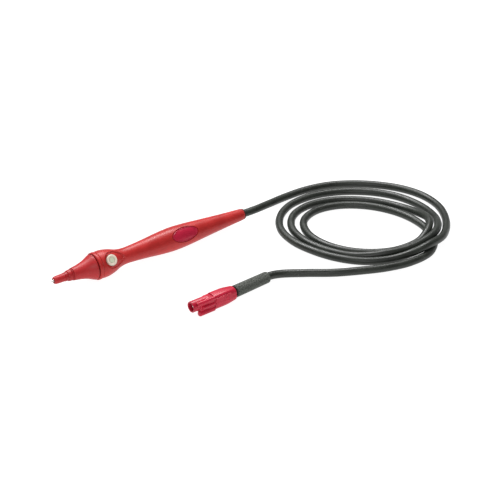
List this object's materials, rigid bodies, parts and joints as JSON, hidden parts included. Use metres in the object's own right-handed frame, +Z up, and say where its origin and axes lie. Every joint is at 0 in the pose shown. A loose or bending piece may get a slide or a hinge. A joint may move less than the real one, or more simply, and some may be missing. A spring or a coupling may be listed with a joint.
{
  "type": "remote-switch test probe",
  "caption": "Red hand-held test probe with finger guard, push button and sheathed tip, on a black lead looped to a keyed, shrouded plug.",
  "frame": {"origin": "on the table, under the middle of the probe (tip to grommet), measured without the lead and plug", "axes": "+X from the metal point to the cable exit, +Z up from the table; the button leans towards -Y"},
  "size_m": [0.3106, 0.141, 0.0207],
  "materials": {
    "handle_red": "moulded, fine satin texture",
    "cone_red": "moulded satin",
    "badge_red": "moulded, smooth and blank",
    "plug_red": "moulded satin",
    "button_ivory": "smooth",
    "button_pale_green": "smooth, slightly dished",
    "cable_black": "extruded soft PVC, satin sheen",
    "sleeve_grey": "fine woven or matt shrink sleeve",
    "rubber_black": "soft, matt",
    "dark_plastic": "moulded",
    "board_green": "glass-epoxy board",
    "wire_red": "wire insulation",
    "wire_blue": "wire insulation",
    "wire_white": "wire insulation",
    "nickel": "nickel plate",
    "brass": "turned",
    "steel": "zinc-plated screw"
  },
  "bodies": {
    "handle": {"handle_shell_upper": "handle_red", "handle_shell_lower": "handle_red", "guard_ring": "handle_red", "nose_cone": "cone_red", "nose_seal": "rubber_black", "tip_pin": "nickel", "tip_bush": "dark_plastic", "tip_terminal": "brass", "switch_body": "dark_plastic", "switch_board": "board_green", "coding_resistor": "dark_plastic", "badge_plate": "badge_red", "cable_ferrule": "nickel", "inner_cable": "cable_black", "rear_grommet": "rubber_black", "shell_screw_1": "steel", "shell_screw_2": "steel", "core_tip": "wire_red", "core_switch_a": "wire_blue", "core_switch_b": "wire_white", "plug_nose": "plug_red", "plug_shell_top": "plug_red", "plug_shell_bottom": "plug_red", "plug_pin": "nickel", "plug_spring_cage": "nickel", "signal_socket": "brass", "plug_screw": "steel", "plug_core_main": "wire_red", "cable_sleeve": "sleeve_grey", "cable": "cable_black"},
    "button": {"button_cap": "button_ivory", "button_inlay": "button_pale_green", "switch_plunger": "dark_plastic"},
    "tip_sheath": {"tip_cap": "cone_red"}
  },
  "joints": [
    {"name": "button_press", "type": "slide", "parent": "handle", "child": "button", "axis": [-0.0116, 0.8192, -0.5735], "range_m": [0, 0.0008], "stiffness_N_per_m": 2000, "springref_m": -0.0004},
    {"name": "tip_sheath_pull", "type": "slide", "parent": "handle", "child": "tip_sheath", "axis": [-0.9998, 0, 0.0202], "range_m": [0, 0.022]}
  ]
}
